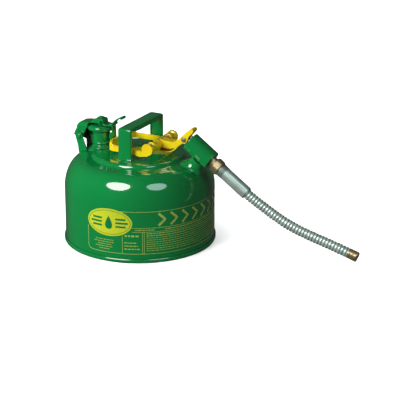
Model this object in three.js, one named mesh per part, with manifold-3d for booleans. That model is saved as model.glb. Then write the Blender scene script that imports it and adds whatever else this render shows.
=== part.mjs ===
// Safety gas can, 2.5 US gallon, with a separate pour hose.
// Millimetres, +Z up. The origin is on the can's axis at the level of the floor. +X points towards
// the pour hose, and the filler neck is on the -X side.

import * as THREE from 'three';
import { mergeVertices } from 'three/addons/utils/BufferGeometryUtils.js';
import Module from 'manifold-3d';

const wasm = await Module();
wasm.setup();

// ---------------------------------------------------------------------------------------------
// Driving dimensions
// ---------------------------------------------------------------------------------------------
const GAP = 0.3;                        // clearance between neighbouring pieces

// Can body
const CHIME_R = 143;                    // rolled base ring, outside
const CHIME_H = 7;
const WALL_R = 140.5;
const WALL_H = 102;                     // where the shoulder starts
const SHOULDER_R = 103.5;               // radius where the shoulder ends
const SHOULDER_H = 56;
const LEDGE_R = 91;                     // flat ledge round the raised plateau
const LEDGE_Z = 158.8;
const PLATEAU_R = 84;
const PLATEAU_Z = 166.3;
const CROWN_Z = 168;
const SHEET = 1.2;                      // steel sheet
const BODY_SIDES = 48;                  // facets round the can
const PANEL_Z = 1.5;                    // recess of the bottom panel

// Carry handle
const HANDLE_X = 3.5;
const HANDLE_WIDTH = 27;
const HANDLE_Y = 63;                    // outer faces of the legs
const HANDLE_TOP = 227.2;
const HANDLE_BEND_R = 5.5;
const LEG_LIP = 4;                      // depth of the turned-in edges of the legs
const GRIP_LIP = 7.5;                   // and of the grip

// Filler side
const NECK_X = -82;
const NECK_R = 16.6;
const NECK_BORE = 14.8;
const NECK_TOP = 196.5;
const CAP_R = 25.5;
const CAP_TOP = 207.5;
const HINGE_X = -117.6;                 // axis of the cap lever
const HINGE_Z = 184.8;
const HINGE_PIN_R = 3;
const HOOD_Y = 20;                      // outer faces of the hood
const LEG_Y = 24;                       // outer faces of the bracket legs
const ANCHOR_Y = -6;                    // plate between the legs that holds the spring
const LATCH_X = -55;                    // axis of the latch rocker
const LATCH_Z = 211.6;

// Pour side: the housing's axis slopes down towards +X, and S is the distance along it
const HOUSING_X = 106;
const HOUSING_Z = 201.5;
const HOUSING_TILT = THREE.MathUtils.degToRad(35.2);
const HOUSING_R = 18.6;
const HOUSING_BORE = 16;
const HOUSING_L = 53.7;
const OUTLET_S = 34;                    // the outlet stub meets the housing at a right angle here
const OUTLET_BORE = 11;
const STEM_OFFSET = 8;                  // the stem lies above the housing's axis by this much
const NUT_S = 61;
const NUT_L = 15;
const NUT_R = 14.5;
const FERRULE_R = 11.8;
const FERRULE_L = 64.4;
const HOSE_R = 9.6;

// Trigger
const TRIGGER_X = 96.5;                 // pivot rivet
const TRIGGER_Z = 204.8;
const RIVET_R = 3;
const CROSSBAR_X = 43.5;
const CROSSBAR_Z = 189.6;
const LOOP_Y = 49;                      // outer faces of the loop's arms
const LOOP_Z = 181.3;
const LOOP_END_X = -42.5;

// ---------------------------------------------------------------------------------------------
// Materials
// ---------------------------------------------------------------------------------------------
function finish(color, roughness, metalness) {
  return () => new THREE.MeshStandardMaterial({ color, roughness, metalness });
}
const greenPaint = finish(0x16893f, 0.3, 0.1);
const yellowPaint = finish(0xf6dc1e, 0.4, 0);
const steel = finish(0x8a979a, 0.35, 0.9);
const brass = finish(0xb98a4a, 0.35, 0.9);
const rubber = finish(0x1b1b1b, 0.8, 0);

// ---------------------------------------------------------------------------------------------
// Helpers
// ---------------------------------------------------------------------------------------------

// A closed geometry as a solid whose faces point outwards.
function solid(geometry) {
  const bare = geometry.clone();
  bare.deleteAttribute('normal');
  bare.deleteAttribute('uv');
  const merged = mergeVertices(bare, 1e-4);
  const position = merged.attributes.position;
  const corners = merged.index.array;
  const triangles = [];
  let volume = 0;
  const [a, b, c] = [new THREE.Vector3(), new THREE.Vector3(), new THREE.Vector3()];
  for (let i = 0; i < corners.length; i += 3) {
    const [p, q, r] = corners.slice(i, i + 3);
    if (p === q || q === r || r === p) continue;
    a.fromBufferAttribute(position, p);
    b.fromBufferAttribute(position, q);
    c.fromBufferAttribute(position, r);
    volume += a.dot(b.cross(c));
    triangles.push([p, q, r]);
  }
  const ordered = volume < 0 ? triangles.map(([p, q, r]) => [p, r, q]) : triangles;
  return new wasm.Manifold(new wasm.Mesh({
    numProp: 3,
    vertProperties: new Float32Array(position.array),
    triVerts: new Uint32Array(ordered.flat()),
  }));
}

function join(first, ...others) {
  return others.reduce((whole, piece) => whole.add(piece), first);
}

function cut(first, ...others) {
  return others.reduce((whole, piece) => whole.subtract(piece), first);
}

function geometryOf(manifold) {
  const mesh = manifold.getMesh();
  const geometry = new THREE.BufferGeometry();
  geometry.setAttribute('position', new THREE.BufferAttribute(mesh.vertProperties, 3));
  geometry.setIndex(new THREE.BufferAttribute(mesh.triVerts, 1));
  geometry.computeVertexNormals();
  return geometry;
}

const can = new THREE.Group();

function part(name, manifold, material) {
  const mesh = new THREE.Mesh(geometryOf(manifold), material());
  mesh.name = name;
  can.add(mesh);
}

// Points along an arc in a plane, from one angle to another, in degrees.
function arc(x, y, rx, ry, from, to, steps) {
  return Array.from({ length: steps + 1 }, (_, i) => {
    const angle = THREE.MathUtils.degToRad(from + (to - from) * i / steps);
    return [x + rx * Math.cos(angle), y + ry * Math.sin(angle)];
  });
}

// Revolves a profile of [radius, height] points round the Z axis.
function turned(profile, segments = 24) {
  const points = profile.map(([r, h]) => new THREE.Vector2(r, h));
  return new THREE.LatheGeometry(points, segments).rotateX(Math.PI / 2);
}

function closed(profile) {
  return [...profile, profile[0]];
}

function rod(radius, from, to, segments = 20) {
  return turned([[0, from], [radius, from], [radius, to], [0, to]], segments);
}

function ring(outer, inner, from, to, segments = 20) {
  return turned(closed([[inner, from], [outer, from], [outer, to], [inner, to]]), segments);
}

// A rod along Y through (x, z).
function crossRod(radius, x, z, y0, y1, segments = 14) {
  return rod(radius, y0, y1, segments).rotateX(-Math.PI / 2).translate(x, 0, z);
}

function outline(points) {
  return new THREE.Shape(points.map(([x, y]) => new THREE.Vector2(x, y)));
}

// A plate whose outline is given in X and Z, from y0 to y1.
function plate(points, y0, y1) {
  const slab = new THREE.ExtrudeGeometry(outline(points), { depth: y1 - y0, bevelEnabled: false });
  return slab.rotateX(Math.PI / 2).translate(0, y1, 0);
}

function box(x0, x1, y0, y1, z0, z1) {
  const block = new THREE.BoxGeometry(x1 - x0, y1 - y0, z1 - z0);
  return block.translate((x0 + x1) / 2, (y0 + y1) / 2, (z0 + z1) / 2);
}

// The outline of a strip of the given thickness that follows a line of points.
function strip(points, thickness, shift = 0) {
  const sides = [[], []];
  points.forEach((point, i) => {
    const before = points[Math.max(i - 1, 0)];
    const after = points[Math.min(i + 1, points.length - 1)];
    const incoming = new THREE.Vector2(point[0] - before[0], point[1] - before[1]).normalize();
    const outgoing = new THREE.Vector2(after[0] - point[0], after[1] - point[1]).normalize();
    const along = incoming.clone().add(outgoing).normalize();
    const side = new THREE.Vector2(-along.y, along.x);
    const straight = outgoing.lengthSq() > 0 ? outgoing : incoming;
    const miter = 1 / Math.max(0.5, side.dot(new THREE.Vector2(-straight.y, straight.x)));
    [0.5, -0.5].forEach((half, k) => {
      const reach = (half * thickness + shift) * miter;
      sides[k].push([point[0] + side.x * reach, point[1] + side.y * reach]);
    });
  });
  return [...sides[0], ...sides[1].reverse()];
}

// Moves a piece made along +Z onto the housing's axis: +Z becomes the way out to the hose,
// and +X of the piece becomes the housing's upper side.
function onHousing(geometry, distance = 0, rise = 0) {
  const along = new THREE.Vector3(Math.cos(HOUSING_TILT), 0, -Math.sin(HOUSING_TILT));
  const up = new THREE.Vector3(Math.sin(HOUSING_TILT), 0, Math.cos(HOUSING_TILT));
  const place = new THREE.Matrix4().makeBasis(up, new THREE.Vector3().crossVectors(along, up), along);
  place.setPosition(
    HOUSING_X + along.x * distance + up.x * rise, 0, HOUSING_Z + along.z * distance + up.z * rise,
  );
  return geometry.applyMatrix4(place);
}

// Moves a piece made along +Z onto the outlet stub's axis: +Z runs from the housing's axis down
// into the can.
function onOutlet(geometry) {
  return onHousing(geometry.rotateY(-Math.PI / 2), OUTLET_S);
}

// A closed helix tube round the Z axis.
function coil(radius, wire, length, turns, stepsPerTurn = 8) {
  const count = turns * stepsPerTurn;
  const points = Array.from({ length: count + 1 }, (_, i) => {
    const angle = 2 * Math.PI * i / stepsPerTurn;
    return new THREE.Vector3(radius * Math.cos(angle), radius * Math.sin(angle), length * i / count);
  });
  const section = outline(arc(0, 0, wire, wire, 0, 288, 4));
  const path = new THREE.CatmullRomCurve3(points);
  return new THREE.ExtrudeGeometry(section, { steps: count, extrudePath: path, bevelEnabled: false });
}

// ---------------------------------------------------------------------------------------------
// Can body
// ---------------------------------------------------------------------------------------------

// Outer or inner outline of the dome, moved inwards by the sheet's thickness or outwards.
function domeProfile(inset, crownSteps) {
  const shoulder = arc(
    SHOULDER_R, WALL_H, WALL_R - SHOULDER_R - inset, SHOULDER_H - inset, 0, 83, 6,
  );
  const riser = [
    [LEDGE_R + 2, LEDGE_Z - inset], [LEDGE_R - 2.2, LEDGE_Z + 0.9 - inset],
    [PLATEAU_R + 1.6 - inset * 0.5, PLATEAU_Z - 2.6 - inset],
    [PLATEAU_R - 1.6 - inset * 0.5, PLATEAU_Z - 0.5 - inset],
  ];
  const crown = Array.from({ length: crownSteps + 1 }, (_, i) => {
    const r = (PLATEAU_R - 5) * (1 - i / crownSteps);
    return [r, crownHeight(r) - inset];
  });
  return [...shoulder, ...riser, ...crown];
}

function crownHeight(r) {
  return CROWN_Z - (CROWN_Z - PLATEAU_Z) * (r / (PLATEAU_R - 5)) ** 2;
}

// The space that the can fills, grown by a clearance, for cutting what stands on it.
function canEnvelope(clearance) {
  const wall = [[0, 0], [WALL_R + clearance, 0]];
  return solid(turned([...wall, ...domeProfile(-clearance, 2)], BODY_SIDES));
}

function bodyShell() {
  const wallStart = 3;
  const outer = [[WALL_R, wallStart], ...domeProfile(0, 2)];
  const inner = [...domeProfile(SHEET, 2).reverse(), [WALL_R - SHEET, wallStart]];
  const shell = solid(turned([...outer, ...inner, [WALL_R, wallStart]], BODY_SIDES));
  const fillHole = solid(rod(NECK_BORE, 120, 200).translate(NECK_X, 0, 0));
  const pourHole = solid(onOutlet(rod(OUTLET_BORE, 15, 60)));
  return cut(shell, fillHole, pourHole);
}

function bottomPanel() {
  const underside = [[0, 0], [112, 0], [118, 2], [124, 0], [136.7, 0]];
  const top = [...underside].reverse().map(([r, z]) => [r, z + SHEET]);
  return solid(turned([...underside, ...top], BODY_SIDES).translate(0, 0, PANEL_Z));
}

function bottomChime() {
  return solid(turned(closed([
    [137, 0], [CHIME_R - 0.8, 0], [CHIME_R, 0.8], [CHIME_R, CHIME_H - 1], [CHIME_R - 0.8, CHIME_H],
    [WALL_R + GAP, CHIME_H], [WALL_R + GAP, 2.7], [137, 2.7],
  ]), BODY_SIDES));
}

part('body_shell', bodyShell(), greenPaint);
part('bottom_panel', bottomPanel(), greenPaint);
part('bottom_chime', bottomChime(), greenPaint);

// ---------------------------------------------------------------------------------------------
// Carry handle: one bent channel of sheet steel with feet turned outwards
// ---------------------------------------------------------------------------------------------
function carryHandle() {
  const sheet = 2;
  const line = HANDLE_Y - sheet / 2;
  const foot = crownHeight(HANDLE_Y + 4) + GAP + sheet / 2 + 0.2;
  const bendY = HANDLE_Y - HANDLE_BEND_R;
  const bendZ = HANDLE_TOP - HANDLE_BEND_R;
  const bend = HANDLE_BEND_R - sheet / 2;
  const path = [
    [-line, foot + 7],
    ...arc(-bendY, bendZ, bend, bend, 180, 90, 5), ...arc(bendY, bendZ, bend, bend, 90, 0, 5),
    [line, foot + 7],
  ];
  const feet = [-1, 1].map((side) => [
    [side * (line + 8), foot], [side * (line + 2), foot], [side * line, foot + 3], [side * line, foot + 8],
  ]);
  const across = (points, x0, x1) => {
    const band = new THREE.ExtrudeGeometry(outline(points), { depth: x1 - x0, bevelEnabled: false });
    return solid(band.applyMatrix4(new THREE.Matrix4().makeBasis(
      new THREE.Vector3(0, 1, 0), new THREE.Vector3(0, 0, 1), new THREE.Vector3(1, 0, 0),
    )).translate(x0, 0, 0));
  };
  const [x0, x1] = [HANDLE_X - HANDLE_WIDTH / 2, HANDLE_X + HANDLE_WIDTH / 2];
  const [legPath, gripPath] = [path, path.filter(([, z]) => z > bendZ + 1)];
  const lips = [x0, x1 - sheet].flatMap((x) => [
    across(strip(legPath, LEG_LIP, -(LEG_LIP - sheet) / 2), x, x + sheet),
    across(strip(gripPath, GRIP_LIP, -(GRIP_LIP - sheet) / 2), x, x + sheet),
  ]);
  return join(
    across(strip(path, sheet), x0, x1),
    ...lips,
    ...feet.map((points) => across(strip(points, sheet), x0, x1)),
  );
}
part('carry_handle', carryHandle(), greenPaint);

// ---------------------------------------------------------------------------------------------
// Filler neck, cap hinge and cap
// ---------------------------------------------------------------------------------------------
function fillNeck() {
  const tube = solid(turned(closed([
    [NECK_BORE, 150], [27, 150], [24.5, 158], [20.5, 163], [17.6, 168], [NECK_R, 171.5], [17.9, 173],
    [17.9, 174.2], [NECK_R, 175.8], [NECK_R, NECK_TOP - 3], [17.6, NECK_TOP - 1.8],
    [17.6, NECK_TOP - 0.5], [NECK_R, NECK_TOP], [NECK_BORE, NECK_TOP],
  ]), 28).translate(NECK_X, 0, 0));
  return cut(tube, canEnvelope(GAP));
}

// A mesh basket whose rim rests in the top of the neck.
function fillArrester() {
  const outer = NECK_BORE - 1.2;
  const inner = outer - 0.8;
  const basket = turned([
    [0, 92], [outer, 92], [outer, NECK_TOP - 3], [NECK_BORE - GAP, NECK_TOP - 2],
    [NECK_BORE - GAP, NECK_TOP - 1], [inner, NECK_TOP - 1], [inner, 93], [0, 93],
  ], 24);
  return solid(basket.translate(NECK_X, 0, 0));
}

// A leg of the hinge, slanting forwards and down from the pin to the dome.
const HINGE_LEG = [
  ...arc(HINGE_X + 0.4, HINGE_Z + 0.4, 8, 8, 0, 180, 7), [-119.5, 164], [-117, 150], [-99.5, 150],
  [-99.5, 162],
];

function onDome(piece) {
  return cut(
    piece, canEnvelope(GAP), solid(rod(26.8, 120, 200).translate(NECK_X, 0, 0)),
    solid(crossRod(HINGE_PIN_R + GAP, HINGE_X, HINGE_Z, -30, 30)),
  );
}

function hingeBracket() {
  const foot = [[-117, 150], [-99.5, 150], [-99.5, 162], [-118, 157.3]];
  const sheet = 2;
  return onDome(join(
    solid(plate(foot, -LEG_Y, LEG_Y)),
    solid(plate(HINGE_LEG, -LEG_Y, -LEG_Y + sheet)),
    solid(plate(HINGE_LEG, LEG_Y - sheet, LEG_Y)),
  ));
}

// Narrow plate between the legs that the end of the spring bears on. Its rear edge leaves room for
// the back of the open lever.
function springAnchor() {
  const standing = solid(plate([
    ...arc(HINGE_X, HINGE_Z, 7, 7, 20, 250, 8), [-112, 176], [-112, 163.5], [-99.5, 163.5],
    [-102, 176],
  ], ANCHOR_Y, ANCHOR_Y + 2));
  return onDome(standing);
}

function hingePin() {
  const head = LEG_Y + GAP;
  return join(
    solid(crossRod(HINGE_PIN_R, HINGE_X, HINGE_Z, -head - 1, head + 1)),
    solid(crossRod(5.2, HINGE_X, HINGE_Z, -head - 2, -head)),
    solid(crossRod(5.2, HINGE_X, HINGE_Z, head, head + 2)),
  );
}

function capSpring() {
  const start = ANCHOR_Y + 3.5;
  const end = HOOD_Y - 3.5;
  const spring = coil(HINGE_PIN_R + 2, 0.9, end - start, 4);
  return solid(spring.rotateX(-Math.PI / 2).translate(HINGE_X, start, HINGE_Z));
}

part('fill_neck', fillNeck(), greenPaint);
part('fill_flame_arrester', fillArrester(), brass);
part('cap_hinge_bracket', hingeBracket(), greenPaint);
part('cap_hinge_pin', hingePin(), greenPaint);
part('cap_spring_anchor', springAnchor(), greenPaint);
part('cap_spring', capSpring(), steel);

// The pressed lever: hood at the rear, bridge over the cap and a flat tongue at the front.
function capLever() {
  const sheet = 1.6;
  const rearTop = [HINGE_X - 6.5, 207.2];
  const profile = [
    [HINGE_X - 14.5, 185], [rearTop[0] - 3, 202], [rearTop[0] + 2, 206.4], [-111, 208.6], [-103, 209.6],
  ];
  const bridge = [
    [-103.5, 209.6], [-99.5, 212], [-92, 218], [-88, 219.5], [-75.5, 219.5], [-72.9, 217.5],
    [-72.2, 211], [-70, 209.4], [LATCH_X - 5, 209.4],
  ];
  const cheek = [
    [HINGE_X - 8, HINGE_Z + 1], ...arc(HINGE_X, HINGE_Z, 7.5, 7.5, 190, 350, 6), [-107.5, 196],
    [-103, 209.4], [-111, 208.4], [rearTop[0] + 2, 206.2], [rearTop[0] - 2.6, 202],
  ];
  const lug = [
    [LATCH_X - 8, 208.8], [LATCH_X - 3, 208.8], ...arc(LATCH_X, LATCH_Z, 3.4, 3.4, -60, 90, 4),
    [LATCH_X - 8, 211],
  ];
  const bridgeCheek = [...bridge.slice(0, 7), [-72.2, 209.6], [-103.5, 208.6]];
  const half = 10;
  return cut(
    join(
      solid(plate(strip(profile, sheet), -HOOD_Y, HOOD_Y)),
      solid(plate(cheek, -HOOD_Y, -HOOD_Y + sheet)),
      solid(plate(cheek, HOOD_Y - sheet, HOOD_Y)),
      solid(plate(strip(bridge, sheet), -half, half)),
      solid(plate(bridgeCheek, -half, -half + sheet)),
      solid(plate(bridgeCheek, half - sheet, half)),
      solid(plate(lug, -half, -7.6)),
      solid(plate(lug, 7.6, half)),
    ),
    solid(crossRod(HINGE_PIN_R + GAP, HINGE_X, HINGE_Z, -30, 30)),
    solid(crossRod(1.5 + GAP, LATCH_X, LATCH_Z, -20, 20, 12)),
    solid(rod(3 + GAP, 200, 230, 16).translate(NECK_X, 0, 0)),
  );
}

function fillCap() {
  const skirt = 199;
  const cap = turned([
    [0, CAP_TOP], [CAP_R - 4, CAP_TOP - 0.4], [CAP_R - 1, CAP_TOP - 1.6], [CAP_R, CAP_TOP - 4],
    [CAP_R, skirt + 1], [CAP_R - 0.7, skirt], [CAP_R - 1.6, skirt], [CAP_R - 1.6, CAP_TOP - 3.4],
    [CAP_R - 4, CAP_TOP - 1.9], [0, CAP_TOP - 1.5],
  ], 32).translate(NECK_X, 0, 0);
  return cut(solid(cap), solid(rod(3 + GAP, 190, 230, 16).translate(NECK_X, 0, 0)));
}

function capGasket() {
  const top = CAP_TOP - 1.9 - GAP;
  const seat = NECK_TOP + GAP;
  return solid(ring(CAP_R - 4.5, 7.5, seat, top).translate(NECK_X, 0, 0));
}

// The rivet holds the cap up against a collar under the bridge.
function capRivet() {
  return solid(turned([
    [0, 202.5], [6, 202.5], [6, CAP_TOP - 1.9 - GAP], [3, CAP_TOP - 1.9 - GAP], [3, CAP_TOP + GAP],
    [8, CAP_TOP + GAP], [8, CAP_TOP + 6], [3, CAP_TOP + 6], [3, 220.6], [5, 220.6], [5, 221.6],
    [3.4, 223], [0, 223.4],
  ], 24).translate(NECK_X, 0, 0));
}

// Rocker at the front of the lever: finger tab above its pin, strap with an outturned toe below.
function capLatch() {
  const sheet = 1.6;
  const half = 7;
  const tab = [
    [LATCH_X, LATCH_Z + 1], [-52.5, 215.6], [-47.5, 220.5], [-42, 224.6], [-36, 227],
  ];
  const strap = [[LATCH_X + 1.4, LATCH_Z], [-53.6, 200], [-53, 188], [-55.6, 181], [-61, 177.6]];
  return cut(
    join(
      solid(plate(strip(tab, sheet), -half, half)),
      solid(plate(strip(strap, sheet), -half, half)),
      solid(crossRod(3.1, LATCH_X, LATCH_Z, -half, half, 16)),
      solid(crossRod(2.5, -35, 227, -half, half, 12)),
    ),
    solid(crossRod(1.5 + GAP, LATCH_X, LATCH_Z, -20, 20, 12)),
  );
}

function latchPin() {
  return join(
    solid(crossRod(1.5, LATCH_X, LATCH_Z, -11.5, 11.5, 12)),
    solid(crossRod(2.6, LATCH_X, LATCH_Z, -11.6, -10.3, 12)),
    solid(crossRod(2.6, LATCH_X, LATCH_Z, 10.3, 11.6, 12)),
  );
}

part('cap_lever', capLever(), greenPaint);
part('fill_cap', fillCap(), greenPaint);
part('cap_gasket', capGasket(), rubber);
part('cap_rivet', capRivet(), greenPaint);
part('cap_latch', capLatch(), greenPaint);
part('latch_pin', latchPin(), greenPaint);

// ---------------------------------------------------------------------------------------------
// Outlet and valve
// ---------------------------------------------------------------------------------------------
function housingEnvelope(clearance) {
  return solid(onHousing(rod(HOUSING_R + clearance, -clearance, HOUSING_L + 40, 32)));
}

function outletCollar() {
  const stub = solid(onOutlet(turned(closed([
    [OUTLET_BORE + 0.5, 4], [14.5, 4], [14.5, 22], [15.4, 26], [17.4, 29.5], [20.4, 33], [22.5, 37],
    [23.5, 45], [24, 58], [OUTLET_BORE + 0.5, 58],
  ]))));
  return cut(stub, canEnvelope(GAP), housingEnvelope(GAP));
}

// A mesh cup that hangs in the outlet.
function pourArrester() {
  return solid(onOutlet(turned([
    [0, 74], [9.6, 74], [9.6, 28], [OUTLET_BORE + 0.2, 27], [OUTLET_BORE + 0.2, 25.5],
    [8.8, 25.5], [8.8, 73], [0, 73],
  ], 20)));
}

// Slanted cylinder, closed at its upper end, with the lug that carries the trigger.
function valveHousing() {
  const endWall = 3;
  const tube = solid(onHousing(turned([
    [0, 0], [HOUSING_R - 0.8, 0], [HOUSING_R, 0.8], [HOUSING_R, HOUSING_L - 0.8],
    [HOUSING_R - 0.8, HOUSING_L], [HOUSING_BORE, HOUSING_L], [HOUSING_BORE, endWall], [0, endWall],
  ], 32)));
  const lug = plate([
    ...arc(TRIGGER_X, TRIGGER_Z, 5.6, 5.6, 55, 235, 8), [100, 189], [109, 201.5],
  ], -4, 4);
  const inlet = solid(onOutlet(rod(10, 8, 22, 20)));
  const stemHole = solid(onHousing(rod(4.8, -2, endWall + 1, 20), 0, STEM_OFFSET));
  const lugOutside = cut(solid(lug), solid(onHousing(rod(HOUSING_R - 1, 0.5, 60, 24))));
  return cut(
    join(tube, lugOutside), inlet, stemHole,
    solid(crossRod(RIVET_R + GAP, TRIGGER_X, TRIGGER_Z, -20, 20)),
  );
}

part('outlet_collar', outletCollar(), greenPaint);
part('pour_flame_arrester', pourArrester(), brass);
part('valve_housing', valveHousing(), greenPaint);

// Inside the housing, from the upper end to the hose
const SEAT_S = 30;
const DISC_S = 32.6;
const RING_S = 47;
part('stem_bush', solid(onHousing(turned(closed([
  [2.5 + GAP, 0.4], [4.5, 0.4], [4.5, 3.3], [7, 3.3], [7, 5.5], [2.5 + GAP, 5.5],
]), 20), 0, STEM_OFFSET)), brass);
part('valve_seat', cut(
  solid(onHousing(rod(HOUSING_BORE - GAP, SEAT_S, SEAT_S + 2.3))),
  solid(onHousing(rod(5.2, SEAT_S - 1, SEAT_S + 4, 16), 0, STEM_OFFSET)),
), brass);
part('valve_stem', solid(onHousing(turned([
  [0, -3.6], [2.4, -3.6], [3.6, -2.8], [3.6, -1.8], [2.5, -1.4], [2.5, DISC_S - GAP], [0, DISC_S - GAP],
], 20), 0, STEM_OFFSET)), steel);
part('valve_disc', solid(onHousing(turned([
  [0, DISC_S], [7, DISC_S], [7, DISC_S + 3], [3.2, DISC_S + 3.4], [3.2, DISC_S + 7], [0, DISC_S + 7],
], 24), 0, STEM_OFFSET)), rubber);
part('valve_spring', solid(onHousing(
  coil(4.6, 0.6, RING_S - DISC_S - 5.2, 4), DISC_S + 4.3, STEM_OFFSET,
)), steel);
part('outlet_ring', cut(
  solid(onHousing(turned([
    [0, RING_S], [HOUSING_BORE - GAP, RING_S], [HOUSING_BORE - GAP, HOUSING_L - 0.4],
    [10.5, HOUSING_L - 0.4], [10.5, NUT_S + 8], [0, NUT_S + 8],
  ]))),
  solid(onHousing(rod(7.5, RING_S + 2.5, NUT_S + 10, 20))),
  solid(onHousing(rod(7, RING_S - 1, RING_S + 4, 20), 0, -5)),
), brass);

// ---------------------------------------------------------------------------------------------
// Trigger
// ---------------------------------------------------------------------------------------------
function triggerCrossbar() {
  const half = [
    [0, 50.3], [10, 50.3], [11.2, 48.8], [10.6, 44], [7.4, 42], [7.4, 34], [9.6, 33],
    [9.6, 28], [7.4, 26.5], [7.4, 13], [9.8, 10.5],
  ];
  const mirrored = [...half].reverse().map(([r, y]) => [r, -y]);
  return turned([...half, ...mirrored], 20).rotateX(-Math.PI / 2).translate(CROSSBAR_X, 0, CROSSBAR_Z);
}

// U-shaped loop with a raised lip across its end.
function triggerLoop() {
  const arm = 6;
  const height = 10.6;
  const bend = 15;
  const inner = LOOP_Y - arm;
  const innerBend = bend - 5;
  const end = LOOP_END_X;
  const loop = [
    [CROSSBAR_X, -LOOP_Y],
    ...arc(end + bend, -LOOP_Y + bend, bend, bend, 270, 180, 4),
    ...arc(end + bend, LOOP_Y - bend, bend, bend, 180, 90, 4),
    [CROSSBAR_X, LOOP_Y], [CROSSBAR_X, inner],
    ...arc(end + arm + innerBend, inner - innerBend, innerBend, innerBend, 90, 180, 3),
    ...arc(end + arm + innerBend, -inner + innerBend, innerBend, innerBend, 180, 270, 3),
    [CROSSBAR_X, -inner],
  ];
  const slab = new THREE.ExtrudeGeometry(outline(loop), { depth: height, bevelEnabled: false });
  const lip = box(end + 1, end + arm, -30, 30, LOOP_Z, LOOP_Z + 8);
  return join(solid(slab.translate(0, 0, LOOP_Z - height / 2)), solid(lip));
}

function triggerLever() {
  const arm = [
    [40, 184], [52, 183.4], [60, 183.6], [69, 184], [78, 186], [87, 192.5], [93.6, 198.2],
    ...arc(TRIGGER_X, TRIGGER_Z, 7.2, 7.2, -40, -5, 2),
    [106.5, 212.5], [115.4, 221.4], [116.2, 225], [113.8, 228], [109.8, 227.6], [95.5, 214.6],
    [88.5, 207], [78, 198.6],
    [70, 197], [58, 198], [50, 199], [40, 197],
  ];
  const lowerFlange = [[42, 183], [45, 178.6], [52, 176.8], [62, 177], [70, 179], [78, 185], [84, 191]];
  const half = 8;
  const slot = plate([
    ...arc(TRIGGER_X, TRIGGER_Z, 8.2, 8.2, 90, 300, 10), [112, 196], [118, 216], [105, 213.5], [99, 212.6],
  ], -4.3, 4.3);
  return cut(
    join(
      solid(triggerCrossbar()), triggerLoop(), solid(plate(arm, -half, half)),
      solid(plate(strip(lowerFlange, 2), -half, half)),
    ),
    solid(slot),
    solid(crossRod(RIVET_R + GAP, TRIGGER_X, TRIGGER_Z, -20, 20)),
  );
}

function triggerRivet() {
  return join(
    solid(crossRod(RIVET_R, TRIGGER_X, TRIGGER_Z, -8.6, 8.6)),
    solid(crossRod(5, TRIGGER_X, TRIGGER_Z, -10, -8.3)),
    solid(crossRod(5, TRIGGER_X, TRIGGER_Z, 8.3, 10)),
  );
}
part('trigger_lever', triggerLever(), yellowPaint);
part('trigger_rivet', triggerRivet(), steel);

// ---------------------------------------------------------------------------------------------
// Pour hose: union nut, ferrule, corrugated hose and brass end piece
// ---------------------------------------------------------------------------------------------
const FERRULE_S = NUT_S + NUT_L + GAP;
const HOSE_S = FERRULE_S + FERRULE_L + GAP;

part('coupling_nut', solid(onHousing(turned(closed([
  [10.5 + GAP, NUT_S], [NUT_R - 1, NUT_S], [NUT_R, NUT_S + 1.2], [NUT_R, NUT_S + NUT_L - 1.2],
  [NUT_R - 1, NUT_S + NUT_L], [9, NUT_S + NUT_L], [9, NUT_S + NUT_L - 2.5],
  [10.5 + GAP, NUT_S + NUT_L - 2.5],
]), 24))), brass);
part('hose_ferrule', solid(onHousing(turned([
  [0, FERRULE_S], [FERRULE_R + 0.5, FERRULE_S], [FERRULE_R + 0.5, FERRULE_S + 11],
  [FERRULE_R, FERRULE_S + 12], [FERRULE_R, FERRULE_S + FERRULE_L - 1],
  [FERRULE_R - 0.8, FERRULE_S + FERRULE_L], [0, FERRULE_S + FERRULE_L],
], 28))), steel);

// The route of the hose in X and Z. It leaves the ferrule along the housing's axis and rises
// above that line, because the metal hose is stiff.
const HOSE_START = [
  HOUSING_X + Math.cos(HOUSING_TILT) * HOSE_S,
  HOUSING_Z - Math.sin(HOUSING_TILT) * HOSE_S,
];
const HOSE_ROUTE = [
  [0, 0], [5, -3.53], [14, -9], [27, -16.3], [40, -23.6], [53.5, -31], [67, -37.9], [81, -44.2],
  [95.5, -49.6], [110.3, -54.2], [125.3, -58.4], [140.4, -62.3], [155.5, -66.1], [170.6, -69.9],
  [185.5, -73.9], [199.5, -77.8],
].map(([x, z]) => [HOSE_START[0] + x, HOSE_START[1] + z]);

const hosePath = new THREE.CatmullRomCurve3(HOSE_ROUTE.map(([x, z]) => new THREE.Vector3(x, 0, z)));
const hoseSection = outline(arc(0, 0, HOSE_R, HOSE_R, 0, 324, 9));
part('flexible_hose', solid(new THREE.ExtrudeGeometry(
  hoseSection, { steps: 16, extrudePath: hosePath, bevelEnabled: false },
)), steel);

// Brass end piece in line with the end of the hose, with an open bore.
function hoseTip() {
  const length = 17;
  const [endX, endZ] = HOSE_ROUTE.at(-1);
  const way = hosePath.getTangent(1);
  const side = new THREE.Vector3(0, 1, 0);
  const place = new THREE.Matrix4().makeBasis(side, new THREE.Vector3().crossVectors(way, side), way);
  place.setPosition(endX + way.x * GAP, 0, endZ + way.z * GAP);
  return solid(turned([
    [0, 0], [HOSE_R - 0.8, 0], [HOSE_R - 0.3, 0.6], [HOSE_R - 0.3, length - 1.2],
    [HOSE_R - 1.2, length], [7.5, length], [7.5, 3], [0, 3],
  ], 28).applyMatrix4(place));
}
part('hose_tip', hoseTip(), brass);

export default can;
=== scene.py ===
import math

import bmesh
import bpy
from mathutils import Matrix, Quaternion, Vector


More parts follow.
